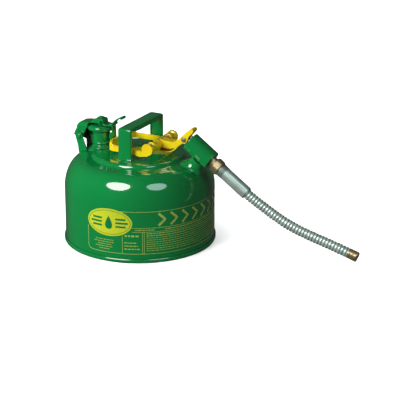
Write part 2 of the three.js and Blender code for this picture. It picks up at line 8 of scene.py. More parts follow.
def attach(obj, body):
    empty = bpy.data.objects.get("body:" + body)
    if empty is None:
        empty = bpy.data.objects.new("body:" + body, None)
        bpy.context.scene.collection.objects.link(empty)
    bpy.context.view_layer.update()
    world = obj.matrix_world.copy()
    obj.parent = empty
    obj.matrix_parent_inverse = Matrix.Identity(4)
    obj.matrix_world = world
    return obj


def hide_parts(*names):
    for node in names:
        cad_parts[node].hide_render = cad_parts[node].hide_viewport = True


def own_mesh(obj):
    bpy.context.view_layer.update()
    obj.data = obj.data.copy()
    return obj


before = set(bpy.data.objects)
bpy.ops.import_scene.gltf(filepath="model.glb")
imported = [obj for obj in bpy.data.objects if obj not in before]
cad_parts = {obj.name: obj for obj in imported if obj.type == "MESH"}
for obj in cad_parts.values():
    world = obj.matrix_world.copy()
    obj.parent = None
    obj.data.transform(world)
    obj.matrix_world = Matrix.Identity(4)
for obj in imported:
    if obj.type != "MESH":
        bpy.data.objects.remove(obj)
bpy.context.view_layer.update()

# Shapes are given in millimetres in the CAD's frame: +Z up, +X towards the pour hose, the origin
# on the can's axis at floor level. They become metres when a piece is made.
MM = 0.001
CLEAR = 0.3

WALL_R = 140.5
CHIME_R = 143
SHEET = 1.2
HANDLE_X = 3.5
NECK_X = -82
NECK_BORE = 14.8
NECK_R = 16.6
NECK_TOP = 196.5
CAP_R = 25.5
CAP_TOP = 207.5
HINGE_X, HINGE_Z = -117.6, 184.8
HINGE_PIN_R = 3
HOOD_Y = 20
LATCH_X, LATCH_Z = -55, 211.6
HOUSING_X, HOUSING_Z = 106, 201.5
HOUSING_TILT = math.radians(35.2)
HOUSING_R = 18.6
HOUSING_L = 53.7
OUTLET_S = 34
NUT_S, NUT_L, NUT_R = 61, 15, 14.5
FERRULE_S, FERRULE_L, FERRULE_R = 76.3, 64.4, 11.8
HOSE_S = FERRULE_S + FERRULE_L + CLEAR
HOSE_R = 9.6
TRIGGER_X, TRIGGER_Z = 96.5, 204.8
CROSSBAR_X, CROSSBAR_Z = 43.5, 189.6
LOOP_Z, LOOP_END_X = 181.3, -42.5

# ---------- Camera ----------
CAMERA_AT = Vector((1.2079, -2.1251, 0.9636))
CAMERA_AIM = Vector((0.1005, 0.0512, 0.07047))
CAMERA_ROLL = math.radians(0.352)
CAMERA_LENS = 124.26
SENSOR_WIDTH = 36


def link(obj):
    bpy.context.scene.collection.objects.link(obj)
    return obj


camera = link(bpy.data.objects.new("camera", bpy.data.cameras.new("camera")))
camera.data.sensor_width = SENSOR_WIDTH
camera.data.lens = CAMERA_LENS
camera.data.clip_end = 100
camera.location = CAMERA_AT
camera.rotation_mode = "QUATERNION"
camera.rotation_quaternion = (
    (CAMERA_AIM - CAMERA_AT).to_track_quat("-Z", "Y") @ Quaternion((0, 0, 1), CAMERA_ROLL)
)
bpy.context.scene.camera = camera


# ---------- Shapes: each is a list of points and a list of faces ----------
def arc(x, y, rx, ry, start, end, steps):
    """Points on an ellipse in a plane, from one angle to another in degrees."""
    angles = [math.radians(start + (end - start) * i / steps) for i in range(steps + 1)]
    return [(x + rx * math.cos(a), y + ry * math.sin(a)) for a in angles]


NEARLY_STRAIGHT = math.radians(176)


def rounded(points, radius, steps=4, closed=True):
    """A plane outline or line with its corners rounded."""
    count = len(points)
    result = []
    for i, point in enumerate(points):
        here = Vector(point)
        if not closed and i in (0, count - 1):
            result.append(tuple(here))
            continue
        back = Vector(points[i - 1]) - here
        ahead = Vector(points[(i + 1) % count]) - here
        turn = back.angle(ahead, math.pi)
        if turn > NEARLY_STRAIGHT:
            result.append(tuple(here))
            continue
        reach = min(radius / math.tan(turn / 2), 0.45 * back.length, 0.45 * ahead.length)
        start, end = here + back.normalized() * reach, here + ahead.normalized() * reach
        for k in range(steps + 1):
            t = k / steps
            result.append(tuple(start.lerp(here, t).lerp(here.lerp(end, t), t)))
    return result


def spline(points, steps):
    """A smooth line through the points, with that many steps between each two."""
    rows = [Vector(p) for p in points]
    rows = [rows[0] * 2 - rows[1], *rows, rows[-1] * 2 - rows[-2]]
    result = []
    for a, b, c, d in zip(rows, rows[1:], rows[2:], rows[3:]):
        for k in range(steps):
            t = k / steps
            result.append(
                0.5 * (2 * b + (c - a) * t + (2 * a - 5 * b + 4 * c - d) * t**2
                       + (3 * b - a - 3 * c + d) * t**3)
            )
    return [tuple(p) for p in [*result, rows[-2]]]


def outward(line, i):
    """The unit vector to the left of a plane line at its point i."""
    way = (Vector(line[min(i + 1, len(line) - 1)]) - Vector(line[max(i - 1, 0)])).normalized()
    return Vector((-way.y, way.x))


def offset(line, distance):
    """A plane line moved to its left by a distance."""
    result = []
    for i, (x, y) in enumerate(line):
        out = outward(line, i)
        result.append((x + out.x * distance, y + out.y * distance))
    return result


def strip(points, thickness):
    """The outline of a sheet of that thickness along a plane line."""
    return offset(points, thickness / 2) + offset(points, -thickness / 2)[::-1]


def loft(rings, loop=False, caps=True):
    """Faces between rings with equal numbers of points."""
    points = [p for ring in rings for p in ring]
    size, count = len(rings[0]), len(rings)
    faces = []
    for i in range(count if loop else count - 1):
        a, b = i * size, (i + 1) % count * size
        faces += [(a + k, a + (k + 1) % size, b + (k + 1) % size, b + k) for k in range(size)]
    if caps and not loop:
        faces.append(tuple(range(size))[::-1])
        faces.append(tuple(range((count - 1) * size, count * size)))
    return points, faces


def lathe(profile, segments=64):
    """A closed profile of (radius, height) turned round the Z axis."""
    rings = []
    for i in range(segments):
        c, s = math.cos(2 * math.pi * i / segments), math.sin(2 * math.pi * i / segments)
        rings.append([(r * c, r * s, h) for r, h in profile])
    return loft(rings, loop=True)


def rod(radius, start, end, edge=0.5, segments=40):
    """A turned rod along the Z axis with eased ends."""
    outline = [(0, start), (radius, start), (radius, end), (0, end)]
    return lathe(eased(outline, edge), segments)


def eased(outline, edge):
    """A turned outline that starts and ends on the axis, with its other corners rounded."""
    return [outline[0], *rounded(outline, edge, 3, closed=False)[1:-1], outline[-1]]


def plate(outline, y0, y1):
    """A slab whose outline is given in X and Z."""
    return loft([[(x, y, z) for x, z in outline] for y in (y0, y1)])


def turned_both_ends(half, segments):
    """A turned pin from half of its profile, as (radius, height) points from one end inwards."""
    return lathe([(r, -h) for r, h in half] + half[::-1], segments)


def swept(line, section):
    """A solid along a line in X and Z. section(i) gives its points across and out of the line."""
    rings = []
    for i, (x, z) in enumerate(line):
        out = outward(line, i)
        rings.append([(x + out.x * v, y, z + out.y * v) for y, v in section(i)])
    return loft(rings)


def tube(path, radius, segments=12):
    """A round rod along a line of points. radius is a number or a function of the step."""
    line = [Vector(p) for p in path]
    way = (line[1] - line[0]).normalized()
    side = way.orthogonal().normalized()
    rings = []
    for i, point in enumerate(line):
        new_way = (line[min(i + 1, len(line) - 1)] - line[max(i - 1, 0)]).normalized()
        side = (way.rotation_difference(new_way) @ side).normalized()
        way = new_way
        other = way.cross(side)
        size = radius(i) if callable(radius) else radius
        rings.append([
            tuple(point + (side * math.cos(a) + other * math.sin(a)) * size)
            for a in (2 * math.pi * k / segments for k in range(segments))
        ])
    return loft(rings)


def coil(radius, wire, length, turns, per_turn=28):
    """A helical spring along the Z axis. radius is that of the wire's centreline."""
    steps = turns * per_turn
    path = []
    for i in range(steps + 1):
        angle = 2 * math.pi * i / per_turn
        path.append((radius * math.cos(angle), radius * math.sin(angle), length * i / steps))
    return tube(path, wire, 8)


def moved(shape, matrix):
    return [tuple(matrix @ Vector(p)) for p in shape[0]], shape[1]


def bent(shape, rule):
    """A shape with a rule of (x, y, z) used on each point."""
    return [rule(*p) for p in shape[0]], shape[1]


def together(*shapes):
    """Several shapes as one."""
    points, faces = [], []
    for some_points, some_faces in shapes:
        first = len(points)
        points += some_points
        faces += [tuple(first + i for i in face) for face in some_faces]
    return points, faces


def shift(x, y, z):
    return Matrix.Translation((x, y, z))


def along_y(x, z):
    """Puts a shape made along +Z onto a line along +Y through (x, z)."""
    return shift(x, 0, z) @ Matrix.Rotation(-math.pi / 2, 4, "X")


# The housing, nut, ferrule and valve share one slanted axis.
HOUSING_WAY = Vector((math.cos(HOUSING_TILT), 0, -math.sin(HOUSING_TILT)))
HOUSING_UP = Vector((math.sin(HOUSING_TILT), 0, math.cos(HOUSING_TILT)))


def on_line(start, way, up):
    """Puts a shape made along +Z onto a line, with its +X turned to up."""
    side = way.cross(up)
    matrix = Matrix((up, side, way)).transposed().to_4x4()
    matrix.translation = start
    return matrix


def on_housing(distance=0, rise=0):
    """A frame on the housing's axis, so far along it and so far above it."""
    start = Vector((HOUSING_X, 0, HOUSING_Z)) + HOUSING_WAY * distance + HOUSING_UP * rise
    return on_line(start, HOUSING_WAY, HOUSING_UP)


ON_OUTLET = on_housing(OUTLET_S) @ Matrix.Rotation(-math.pi / 2, 4, "Y")


# ---------- Making pieces ----------
SAME_PLACE = 2e-7


def mesh_object(name, shape):
    """An object with a clean closed mesh of a shape given in millimetres."""
    mesh = bpy.data.meshes.new(name)
    mesh.from_pydata([Vector(p) * MM for p in shape[0]], [], shape[1])
    work = bmesh.new()
    work.from_mesh(mesh)
    bmesh.ops.remove_doubles(work, verts=work.verts, dist=SAME_PLACE)
    bmesh.ops.dissolve_degenerate(work, dist=SAME_PLACE / 2, edges=work.edges)
    loose = [v for v in work.verts if not v.link_faces]
    bmesh.ops.delete(work, geom=loose, context="VERTS")
    bmesh.ops.recalc_face_normals(work, faces=work.faces)
    work.to_mesh(mesh)
    work.free()
    return link(bpy.data.objects.new(name, mesh))


def carve(obj, *shapes):
    """Cuts shapes out of a piece."""
    for shape in shapes:
        cutter = mesh_object("cutter", shape)
        change = obj.modifiers.new("cut", "BOOLEAN")
        change.object, change.operation, change.solver = cutter, "DIFFERENCE", "EXACT"
        settle(obj)
        bpy.data.objects.remove(cutter)
    return obj


def settle(obj):
    """Applies a piece's modifiers."""
    bpy.context.view_layer.update()
    seen = obj.evaluated_get(bpy.context.evaluated_depsgraph_get())
    mesh = bpy.data.meshes.new_from_object(seen)
    obj.modifiers.clear()
    obj.data = mesh


def piece(obj, body, look, nodes=(), bevel=0.0, sharp=38, steps=2):
    """Finishes a piece: eased edges, smooth shading up to the sharp angle in degrees, a material,
    the body it rides on and the CAD nodes it stands for."""
    if bevel:
        edge = obj.modifiers.new("edge", "BEVEL")
        edge.width, edge.segments = bevel * MM, steps
        edge.limit_method, edge.angle_limit = "ANGLE", math.radians(sharp)
        edge.use_clamp_overlap = True
        edge.miter_outer = "MITER_ARC"
        settle(obj)
    obj.data.polygons.foreach_set("use_smooth", [True] * len(obj.data.polygons))
    obj.data.set_sharp_from_angle(angle=math.radians(sharp))
    even = obj.modifiers.new("even", "WEIGHTED_NORMAL")
    even.keep_sharp = True
    obj.data.materials.clear()
    obj.data.materials.append(look)
    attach(obj, body)
    if nodes:
        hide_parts(*nodes)
    return obj


# ---------- Materials ----------
class Look:
    """A node material whose coordinates are the object's own, in metres."""

    def __init__(self, name, metallic=0.0, specular=0.5, coat=0.0):
        self.material = bpy.data.materials.new(name)
        self.material.use_nodes = True
        self.tree = self.material.node_tree
        self.shader = self.tree.nodes["Principled BSDF"]
        self.shader.inputs["Metallic"].default_value = metallic
        self.shader.inputs["Specular IOR Level"].default_value = specular
        self.shader.inputs["Coat Weight"].default_value = coat
        self.shader.inputs["Coat Roughness"].default_value = 0.04
        self.place = self.tree.nodes.new("ShaderNodeTexCoord").outputs["Object"]

    def node(self, kind, links=(), **values):
        made = self.tree.nodes.new(kind)
        for key, value in values.items():
            if hasattr(made, key):
                setattr(made, key, value)
            else:
                made.inputs[key.replace("_", " ").title()].default_value = value
        for socket, source in dict(links).items():
            self.tree.links.new(source, made.inputs[socket])
        return made

    def noise(self, scale, detail=2.0, roughness=0.5, stretch=None):
        place = self.place
        if stretch:
            place = self.node("ShaderNodeMapping", {"Vector": place}, scale=stretch).outputs[0]
        return self.node(
            "ShaderNodeTexNoise", {"Vector": place}, scale=scale, detail=detail,
            roughness=roughness,
        ).outputs["Fac"]

    def ramp(self, source, *stops):
        made = self.node("ShaderNodeValToRGB", {"Fac": source})
        steps = made.color_ramp.elements
        while len(steps) < len(stops):
            steps.new(0.5)
        for step, (at, colour) in zip(steps, stops):
            step.position = at
            step.color = (*colour, 1) if isinstance(colour, tuple) else (colour, colour, colour, 1)
        return made.outputs["Color"]

    def mix(self, share, first, second, blend="MIX"):
        made = self.tree.nodes.new("ShaderNodeMix")
        made.data_type, made.blend_type = "RGBA", blend
        for name, value in (("Factor", share), ("A", first), ("B", second)):
            kind = "VALUE" if name == "Factor" else "RGBA"
            socket = next(s for s in made.inputs if s.name == name and s.type == kind)
            if isinstance(value, (int, float)):
                socket.default_value = value
            elif isinstance(value, tuple):
                socket.default_value = (*value, 1)
            else:
                self.tree.links.new(value, socket)
        return next(s for s in made.outputs if s.type == "RGBA")

    def colour(self, source):
        self.tree.links.new(source, self.shader.inputs["Base Color"])

    def roughness(self, source):
        self.tree.links.new(source, self.shader.inputs["Roughness"])

    def bump(self, *layers):
        """Layers of (height source, depth in millimetres)."""
        normal = None
        for source, depth in layers:
            links = {"Height": source}
            if normal:
                links["Normal"] = normal
            made = self.node("ShaderNodeBump", links)
            made.inputs["Strength"].default_value = 1
            made.inputs["Distance"].default_value = depth * MM
            normal = made.outputs["Normal"]
        self.tree.links.new(normal, self.shader.inputs["Normal"])

    def painted_shade(self, reach):
        """Painted shade: near 1 on open surfaces and less in corners and near other parts within
        reach, in millimetres.
        """
        made = self.node("ShaderNodeAmbientOcclusion")
        made.inputs["Distance"].default_value = reach * MM
        made.samples = 6
        return made.outputs["AO"]


def enamel(name, base, shade, corner_shade, specular=0.6, coarse=9.0, reach=5):
    """Sprayed gloss enamel: a faint orange peel, slight unevenness, painted shade in the corners
    and where parts meet, and a little duller where hands rub it."""
    look = Look(name, specular=specular, coat=1.0)
    cloudy = look.ramp(look.noise(coarse, 3), (0.3, shade), (0.72, base))
    speck = look.ramp(look.noise(1500, 1), (0.62, 0.0), (0.8, 0.1))
    worn = look.mix(speck, cloudy, tuple(min(1, c * 1.25 + 0.01) for c in base))
    # Painted shade: the corner colour is mixed in where the occlusion mask finds corners and parts.
    look.colour(look.mix(look.ramp(look.painted_shade(reach), (0.3, 1.0), (0.8, 0.0)), worn, corner_shade))
    look.roughness(look.ramp(look.noise(38, 5, 0.6), (0.3, 0.07), (0.62, 0.1), (0.8, 0.18)))
    look.bump((look.noise(240, 2), 0.02), (look.noise(1400, 1), 0.003))
    return look.material


def metal(name, base, dull, rough, stretch=None, depth=0.01, metallic=1.0):
    """Bare metal with clouds of dullness, fine scratches and painted shade in grooves and joins."""
    look = Look(name, metallic=metallic)
    clouds = look.ramp(look.noise(70, 4, 0.6), (0.3, dull), (0.65, base))
    # Painted shade: nearly black where the occlusion mask finds grooves and nearby parts.
    groove_shade = tuple(c * 0.14 for c in dull)
    look.colour(look.mix(look.ramp(look.painted_shade(2.6), (0.3, 1.0), (0.9, 0.0)), clouds, groove_shade))
    scratches = look.noise(900, 3, 0.6, stretch)
    look.roughness(look.ramp(scratches, (0.3, rough[0]), (0.7, rough[1])))
    look.bump((scratches, depth))
    return look.material


green = enamel(
    "green_enamel", base=(0.004, 0.262, 0.058), shade=(0.003, 0.225, 0.048),
    corner_shade=(0.001, 0.06, 0.014),
)
# The yellow's corner colour is a painted orange shade in its creases, spread wide by reach.
yellow = enamel(
    "yellow_enamel", base=(0.96, 0.79, 0.012), shade=(0.95, 0.62, 0.008), corner_shade=(0.8, 0.26, 0.004),
    specular=0.4, coarse=30, reach=12,
)
steel = metal(
    "zinc_steel", base=(0.66, 0.78, 0.73), dull=(0.5, 0.62, 0.57), rough=(0.28, 0.4),
    stretch=(1, 1, 0.2), metallic=0.5,
)
sleeve = metal(
    "plated_sleeve", base=(0.62, 0.74, 0.69), dull=(0.48, 0.6, 0.55), rough=(0.26, 0.36),
    stretch=(1, 1, 0.15), depth=0.004, metallic=0.6,
)
dull_steel = metal(
    "dull_steel", base=(0.3, 0.33, 0.3), dull=(0.17, 0.19, 0.17), rough=(0.3, 0.42), metallic=0.7,
)
# Oiled steel, near black. On the spring anchor plate it also stands in for the shade in the hinge.
shade_dark_steel = metal(
    "oiled_steel_and_shade", base=(0.12, 0.125, 0.13), dull=(0.05, 0.055, 0.06), rough=(0.3, 0.5),
)
brass = metal(
    "brass", base=(0.64, 0.52, 0.31), dull=(0.46, 0.33, 0.17), rough=(0.24, 0.4), metallic=0.8,
)


def woven_brass():
    """A screen of fine brass wire: holes between crossing wires painted as the shade behind them.
    """
    look = Look("brass_screen", metallic=1.0)
    waves = [
        look.node(
            "ShaderNodeTexWave", {"Vector": look.place}, wave_type="BANDS", bands_direction=way,
            scale=scale,
        ).outputs["Fac"]
        for way, scale in (("Z", 300.0), ("DIAGONAL", 260.0))
    ]
    crossing = look.mix(1.0, waves[0], waves[1], "MULTIPLY")
    # Painted shade: the holes between the wires are coloured brown-black.
    look.colour(look.ramp(crossing, (0.1, (0.08, 0.05, 0.02)), (0.5, (0.7, 0.48, 0.24))))
    look.roughness(look.ramp(crossing, (0.1, 0.6), (0.6, 0.3)))
    look.bump((crossing, 0.2))
    return look.material


def moulded_rubber():
    """Black rubber with a faint grain."""
    look = Look("black_rubber", specular=0.3)
    look.colour(look.ramp(look.noise(400, 3), (0.3, 0.012), (0.7, 0.03)))
    look.roughness(look.ramp(look.noise(600, 2), (0.3, 0.55), (0.7, 0.8)))
    look.bump((look.noise(2500, 2), 0.02))
    return look.material


def printed_ink(name, base, faded):
    """Screen-printed ink, a little thin in places."""
    look = Look(name, specular=0.35)
    look.colour(look.ramp(look.noise(420, 3, 0.6), (0.32, faded), (0.5, base)))
    look.roughness(look.ramp(look.noise(60, 3), (0.3, 0.16), (0.7, 0.28)))
    look.bump((look.noise(900, 2), 0.01))
    return look.material


screen = woven_brass()
rubber = moulded_rubber()
ink = printed_ink("yellow_ink", (0.45, 0.58, 0.12), (0.24, 0.44, 0.08))
badge_ink = printed_ink("badge_ink", (0.62, 0.7, 0.03), (0.5, 0.6, 0.035))
green_ink = printed_ink("green_ink", (0.006, 0.2, 0.05), (0.01, 0.24, 0.06))


# ---------- Pour hose: corrugated metal hose, ferrule, union nut and brass end piece ----------
# The hose's centreline in X and Z from where it leaves the ferrule: it sags, then levels out.
HOSE_ROUTE = [
    (0, 0), (5, -3.53), (14, -9), (27, -16.3), (40, -23.6), (53.5, -31), (67, -37.9), (81, -44.2),
    (95.5, -49.6), (110.3, -54.2), (125.3, -58.4), (140.4, -62.3), (155.5, -66.1), (170.6, -69.9),
    (185.5, -73.9), (199.5, -77.8),
]
HOSE_START = Vector((HOUSING_X, 0, HOUSING_Z)) + HOUSING_WAY * HOSE_S
RIB_PITCH = 6.0
GROOVE_DEPTH = 1.7
GROOVE_SHARE = 0.17
HOSE_STEP = 0.4


def hose_line():
    """Points one step apart along the hose's centreline, in millimetres."""
    dense = [HOSE_START + Vector((x, 0, z)) for x, z in spline(HOSE_ROUTE, 40)]
    line, left = [dense[0]], HOSE_STEP
    for a, b in zip(dense, dense[1:]):
        step = (b - a).length
        while left <= step:
            line.append(a.lerp(b, left / step))
            left += HOSE_STEP
        left -= step
    return line


centreline = hose_line()


def hose_radius(i):
    """Interlocked strip: broad rounded ribs with narrow grooves."""
    phase = (i * HOSE_STEP / RIB_PITCH) % 1
    groove = GROOVE_DEPTH * math.exp(-((phase - 0.5) / GROOVE_SHARE) ** 2)
    return HOSE_R - 0.15 - groove + 0.15 * math.sin(math.pi * 2 * phase)


flexible_hose = piece(
    mesh_object("flexible_hose_corrugated", tube(centreline, hose_radius, 40)),
    "can", steel, ["flexible_hose"], sharp=80,
)

# The end piece has a shallow groove near the hose and one drilled dimple in its side.
end_way = (centreline[-1] - centreline[-3]).normalized()
end_up = Vector((-end_way.z, 0, end_way.x))
ON_TIP = on_line(centreline[-1] + end_way * CLEAR, end_way, end_up)
TIP_L, TIP_BORE = 17, 7.6
tip_profile = rounded([
    (TIP_BORE, TIP_L), (9.0, TIP_L), (9.3, 15.8), (9.3, 5.2), (8.7, 4.6), (8.7, 3.6), (9.3, 3),
    (9.3, 0.5), (8.7, 0), (0, 0), (0, 3), (TIP_BORE, 3),
], 0.35, 2)
tip_shape = lathe([(max(r, 0), h) for r, h in tip_profile], 64)
hose_tip = mesh_object("hose_tip_turned", moved(tip_shape, ON_TIP))
dimple_turn = Matrix.Rotation(math.radians(62), 4, "Z") @ Matrix.Rotation(math.pi / 2, 4, "Y")
carve(hose_tip, moved(rod(1.5, 8.3, 12, 0.2, 24), ON_TIP @ shift(0, 0, 9.5) @ dimple_turn))
piece(hose_tip, "can", brass, ["hose_tip"])

# The ferrule is a plain sleeve with a band of fine grooves beside the nut.
BAND_GROOVES, BAND_PITCH = 10, 1.05
ferrule_profile = [(0, FERRULE_S), (FERRULE_R + 0.1, FERRULE_S)]
for i in range(BAND_GROOVES):
    at = FERRULE_S + 0.5 + i * BAND_PITCH
    ferrule_profile += [
        (FERRULE_R + 0.45, at + 0.25), (FERRULE_R + 0.45, at + 0.6), (FERRULE_R - 0.1, at + 0.9),
    ]
ferrule_profile += rounded([
    (FERRULE_R - 0.1, FERRULE_S + 11.4), (FERRULE_R, FERRULE_S + 12.2),
    (FERRULE_R, FERRULE_S + FERRULE_L - 0.4), (FERRULE_R - 0.4, FERRULE_S + FERRULE_L),
    (0, FERRULE_S + FERRULE_L),
], 0.4, 3, closed=False)
hose_ferrule = piece(
    mesh_object("hose_ferrule_sleeve", moved(lathe(ferrule_profile, 72), on_housing())),
    "can", sleeve, ["hose_ferrule"], sharp=50,
)


def nut_shape():
    """A turned nut with six broad flats and chamfered ends."""
    profile = rounded([
        (10.9, NUT_S), (NUT_R - 1.5, NUT_S), (NUT_R, NUT_S + 1.6), (NUT_R, NUT_S + NUT_L - 2),
        (NUT_R - 1.4, NUT_S + NUT_L), (9.1, NUT_S + NUT_L), (9.1, NUT_S + NUT_L - 2.4),
        (10.9, NUT_S + NUT_L - 2.6),
    ], 0.5, 2)
    points, faces = lathe(profile, 96)

    def flatten(x, y, z):
        """Cuts the flats and leaves the bore round."""
        radius = math.hypot(x, y)
        if radius < 11.6:
            return x, y, z
        angle = (math.atan2(y, x) + math.pi / 6) % (math.pi / 3) - math.pi / 6
        limit = (NUT_R - 0.8) / math.cos(angle)
        scale = min(1, limit / radius)
        return x * scale, y * scale, z

    return bent((points, faces), flatten)


coupling_nut = piece(
    mesh_object("coupling_nut_hexagon", moved(nut_shape(), on_housing())),
    "can", brass, ["coupling_nut"], sharp=24,
)

[tuple(p * MM) for p in centreline[::5]]

# ---------- Can body ----------
# Half of the can's outer outline, as (radius, height) points from the wall up to the middle of the
# raised plateau.
DOME_TOP = 168
SHOULDER = arc(103.5, 102, 37, 56, 0, 84, 30)
CROWN = spline([
    (103.5, 158.0), (97, 158.7), (91.8, 159.3), (88.6, 160.3), (86.3, 162.7), (84.2, 165.2),
    (81, 166.2), (76, 166.45), (60, 167.0), (40, 167.55), (20, 167.9), (0, DOME_TOP),
], 4)
DOME = [*SHOULDER, *CROWN]


def dome_height(x, y):
    """The height of the can's outer surface above a point."""
    radius = math.hypot(x, y)
    for (r0, z0), (r1, z1) in zip(DOME, DOME[1:]):
        if r1 <= radius <= r0:
            return z0 + (z1 - z0) * (r0 - radius) / max(r0 - r1, 1e-9)
    return 102


outside = [(WALL_R, 3), (WALL_R, 40), (WALL_R, 75), *DOME]
inside = [(max(r, 0), z) for r, z in offset(outside, SHEET)]
inside[-1] = (0, DOME_TOP - SHEET)
body_shell = mesh_object("body_shell_drawn", lathe(outside + inside[::-1], 192))
carve(
    body_shell,
    moved(rod(NECK_BORE, 120, 200, 0.01, 48), shift(NECK_X, 0, 0)),
    moved(rod(11, 15, 60, 0.01, 48), ON_OUTLET),
)
piece(body_shell, "can", green, ["body_shell"], sharp=50)

PANEL_Z = 1.5
pressed_rib = spline([(108, PANEL_Z), (112, 1.8), (118, 3.6), (124, 1.8), (128, PANEL_Z)], 4)
panel_under = [(0, PANEL_Z), *pressed_rib, (136.7, PANEL_Z)]
panel_over = [(r, z + SHEET) for r, z in panel_under[::-1]]
piece(
    mesh_object("bottom_panel_pressed", lathe(panel_under + panel_over, 128)),
    "can", green, ["bottom_panel"],
)

chime_profile = rounded([
    (137, 0), (CHIME_R - 0.4, 0), (CHIME_R, 1.6), (CHIME_R, 5.6), (CHIME_R - 0.9, 7),
    (WALL_R + CLEAR, 7), (WALL_R + CLEAR, 2.7), (137, 2.7),
], 0.9, 4)
piece(
    mesh_object("bottom_chime_rolled", lathe(chime_profile, 192)),
    "can", green, ["bottom_chime"],
)


# ---------- Carry handle: a strap with rolled edges and flared feet ----------
LEG_Y, GRIP_Z = 62.4, 226.3
STRAP_WIDTH, STRAP_SHEET = 27, 1.8


def handle_line():
    """The outer face of the strap in Y and Z: foot, leg, grip, leg, foot."""
    foot = dome_height(HANDLE_X, LEG_Y + 6) + 0.5
    half = rounded(
        [(LEG_Y + 10, foot - 0.1), (LEG_Y, foot + 0.3), (LEG_Y, foot + 20)], 5, 8, closed=False,
    )[:-1]
    half += rounded([(LEG_Y, foot + 20), (LEG_Y, GRIP_Z), (0, GRIP_Z)], 5.5, 10, closed=False)[:-1]
    half += [(y, GRIP_Z) for y in (44, 30, 15, 0)]
    return [(-y, z) for y, z in half] + half[:-1][::-1]


def handle_shape():
    """The strap along its line. Near the feet it widens and its lips fade out into round tongues,
    and along the grip the lips are deeper."""
    sheet = STRAP_SHEET
    line = handle_line()
    rings = []
    run, total = 0, sum(math.dist(a, b) for a, b in zip(line, line[1:]))
    for i, (y, z) in enumerate(line):
        out = outward(line, i)
        if i:
            run += math.dist(line[i - 1], line[i])
        # How far along the strap the nearer foot is.
        near = min(run, total - run)
        flare = max(0, 1 - near / 18)
        tongue = math.sqrt(max(0.0, 1 - (1 - min(near / 8, 1)) ** 2))
        half_width = (STRAP_WIDTH / 2 + 3 * flare * flare) * (0.35 + 0.65 * tongue)
        grip = max(0, min(1, (near - 75) / 14))
        lip = (3.4 + 3.8 * grip) * min(1, max(0, near - 7) / 10)
        crown = 0.5 + 0.4 * grip
        roll = min(2.2, lip + 0.01)
        outer = [(-half_width, -lip - sheet * 0.5)]
        outer += arc(-half_width + roll, -roll, roll, roll, 180, 90, 5)
        outer += [(u * half_width, crown * (1 - u * u)) for u in (-0.6, -0.3, 0, 0.3, 0.6)]
        outer += arc(half_width - roll, -roll, roll, roll, 90, 0, 5)
        outer += [(half_width, -lip - sheet * 0.5)]
        bend = roll - sheet * 0.9
        inner = [(half_width - sheet, -lip - sheet * 0.5)]
        inner += arc(half_width - roll - 0.1, -roll - 0.1, bend, bend, 0, 90, 5)
        inner += [(u * half_width, crown * (1 - u * u) - sheet) for u in (0.6, 0.3, 0, -0.3, -0.6)]
        inner += arc(-half_width + roll + 0.1, -roll - 0.1, bend, bend, 90, 180, 5)
        inner += [(-half_width + sheet, -lip - sheet * 0.5)]
        rings.append([(HANDLE_X + u, y + out.x * v, z + out.y * v) for u, v in outer + inner])
    return loft(rings)


handle = mesh_object("carry_handle_strap", handle_shape())
piece(handle, "can", green, ["carry_handle"], sharp=60)
weld = lathe([(0, -0.5), (3.0, -0.5), (2.7, 0.5), (1.8, 1.1), (0, 1.3)], 24)
WELD_Y, WELD_REACH = 67, 7
welds = [
    moved(weld, shift(x, y, dome_height(x, y) + 0.9))
    for y in (-WELD_Y, WELD_Y) for x in (HANDLE_X - WELD_REACH, HANDLE_X + WELD_REACH)
]
piece(mesh_object("carry_handle_welds", together(*welds)), "can", green, sharp=50)

# ---------- Filler neck and hinge ----------
def follow_dome(low, high, lift):
    """A rule that sinks points below high smoothly, so that those at low lie on the dome."""
    def rule(x, y, z):
        if z >= high:
            return x, y, z
        share = min(1, (high - z) / (high - low))
        share = share * share * (3 - 2 * share)
        return x, y, z + share * (dome_height(x, y) + lift - low)
    return rule


def on_neck(profile, segments):
    """A piece turned round the neck's axis."""
    return moved(lathe(profile, segments), shift(NECK_X, 0, 0))


# From the bore round the flared foot, up the outside past the bead to the rolled rim, and down.
neck_profile = [(NECK_BORE, 150), (19, 150), (23, 150), (27, 150), (27.4, 150.6), (27.2, 151.4)]
neck_profile += spline([(26.2, 152.3), (23.5, 155.0), (20.4, 159.5), (17.8, 166), (16.7, 171.4)], 5)
neck_profile += arc(NECK_R + 0.1, 174, 1.4, 1.4, -70, 70, 6)
neck_profile += [(NECK_R, 176), (NECK_R, 188), (NECK_R, 193)]
neck_profile += arc(NECK_R - 0.2, 195.2, 1.3, 1.3, -75, 90, 7)
neck_profile += [(15.5, NECK_TOP), (NECK_BORE, 195.8), (NECK_BORE, 180), (NECK_BORE, 165)]
neck = bent(on_neck(neck_profile, 96), follow_dome(150, 172, CLEAR))
piece(mesh_object("fill_neck_spun", neck), "can", green, ["fill_neck"], sharp=50)

basket = [
    (0, 92), (13.6, 92), (13.6, 193.4), (14.4, 194.2), (14.4, 195.4), (12.8, 195.4), (12.8, 93),
    (0, 93),
]
piece(
    mesh_object("fill_flame_arrester_screen", on_neck(basket, 64)),
    "can", screen, ["fill_flame_arrester"],
)

leg_outline = arc(HINGE_X + 0.4, HINGE_Z + 0.4, 8, 8, 0, 180, 16)
leg_outline += [(-119.6, 166), (-118.4, 150), (-108.8, 150), (-100.4, 150), (-100.6, 162)]


def leg_rule(x, y, z):
    """Lands the foot of a leg on the dome."""
    return (x, y, dome_height(x, y) + CLEAR + 0.2) if z < 155 else (x, y, z)


